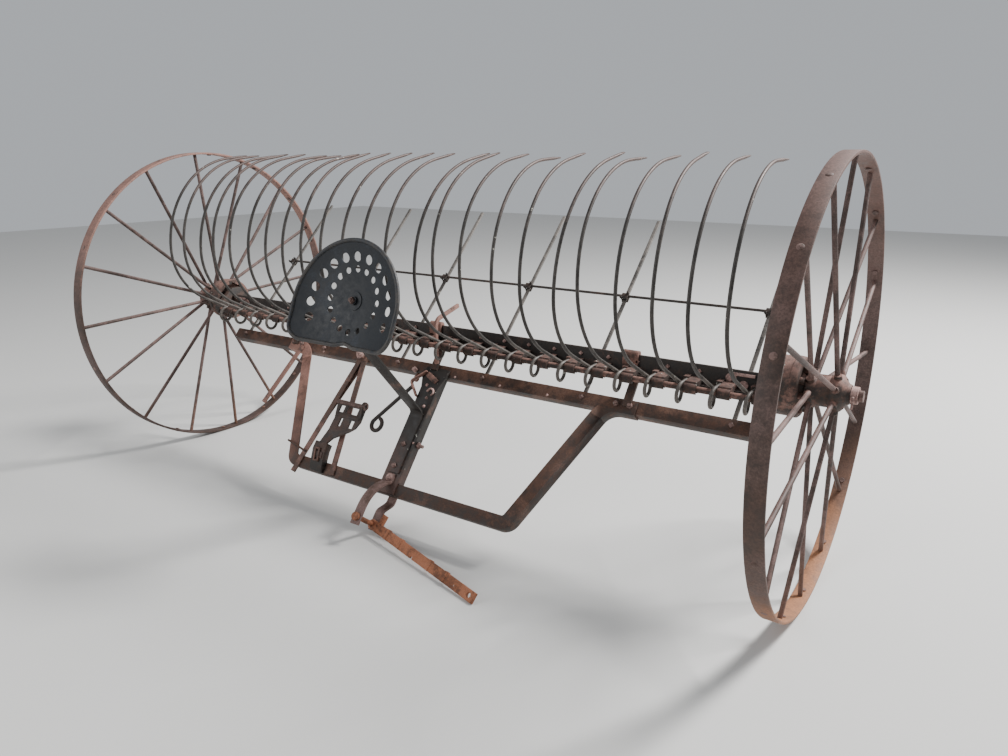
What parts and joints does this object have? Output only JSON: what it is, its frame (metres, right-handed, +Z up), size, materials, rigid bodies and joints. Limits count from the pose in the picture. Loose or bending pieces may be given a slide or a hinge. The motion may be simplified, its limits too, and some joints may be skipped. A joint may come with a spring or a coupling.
{
  "type": "horse-drawn self-dumping sulky hay rake",
  "caption": "Steel dump rake on two spoked wheels, with a row of curved spring teeth, cleaner rods, pan seat, foot pedal and trip lever.",
  "frame": {"origin": "on the ground under the middle of the axle line", "axes": "+X towards the right-hand wheel along the axle line, -Y forward, +Z up"},
  "size_m": [3.079, 1.372, 1.3718],
  "materials": {
    "rusted_bars": "faded paint over brown rust",
    "head_steel": "dark brown-black rust",
    "tooth_steel": "dark weathered spring steel",
    "faded_red": "faded pink-red paint, rusted at the edges",
    "rim_rust": "reddish-brown rust with remains of red paint",
    "link_rust": "orange-red rust",
    "seat_paint": "dark blue-black, worn"
  },
  "bodies": {
    "front_frame": {"cross_bar": "rusted_bars", "draft_frame": "rusted_bars", "tongue": "rusted_bars", "hitch_clevis": "rusted_bars", "hitch_pin": "link_rust", "hitch_link": "link_rust", "seat_pan": "seat_paint", "seat_spring": "head_steel", "pedal_braces": "rusted_bars", "brace_tie": "rusted_bars", "pedal_bracket": "head_steel", "foot_pedal": "head_steel", "trip_rod": "tooth_steel", "latch_bracket": "faded_red", "side_brace": "faded_red", "cleaner_rods": "tooth_steel", "cleaner_tie": "tooth_steel", "hinge_arms": "rusted_bars"},
    "rake_head": {"head_bar": "head_steel", "hand_lever": "faded_red", "head_lugs": "faded_red", "hinge_pins": "head_steel", "tooth_rod": "faded_red", "tooth_holders": "faded_red", "teeth": "tooth_steel", "end_castings": "head_steel", "spindles": "tooth_steel", "spindle_collars": "faded_red"},
    "wheel_right": {"rim_right": "rim_rust", "spokes_right": "rim_rust", "hub_right": "faded_red"},
    "wheel_left": {"rim_left": "rim_rust", "spokes_left": "rim_rust", "hub_left": "faded_red"}
  },
  "joints": [
    {"name": "rake_lift", "type": "hinge", "parent": "front_frame", "child": "rake_head", "pos_m": [0, 0, 0.686], "axis": [1, 0, 0], "range_deg": [-113, 0]},
    {"name": "wheel_right_spin", "type": "hinge", "parent": "rake_head", "child": "wheel_right", "pos_m": [1.4355, 0, 0.686], "axis": [1, 0, 0], "continuous": true},
    {"name": "wheel_left_spin", "type": "hinge", "parent": "rake_head", "child": "wheel_left", "pos_m": [-1.4355, 0, 0.686], "axis": [1, 0, 0], "continuous": true}
  ]
}
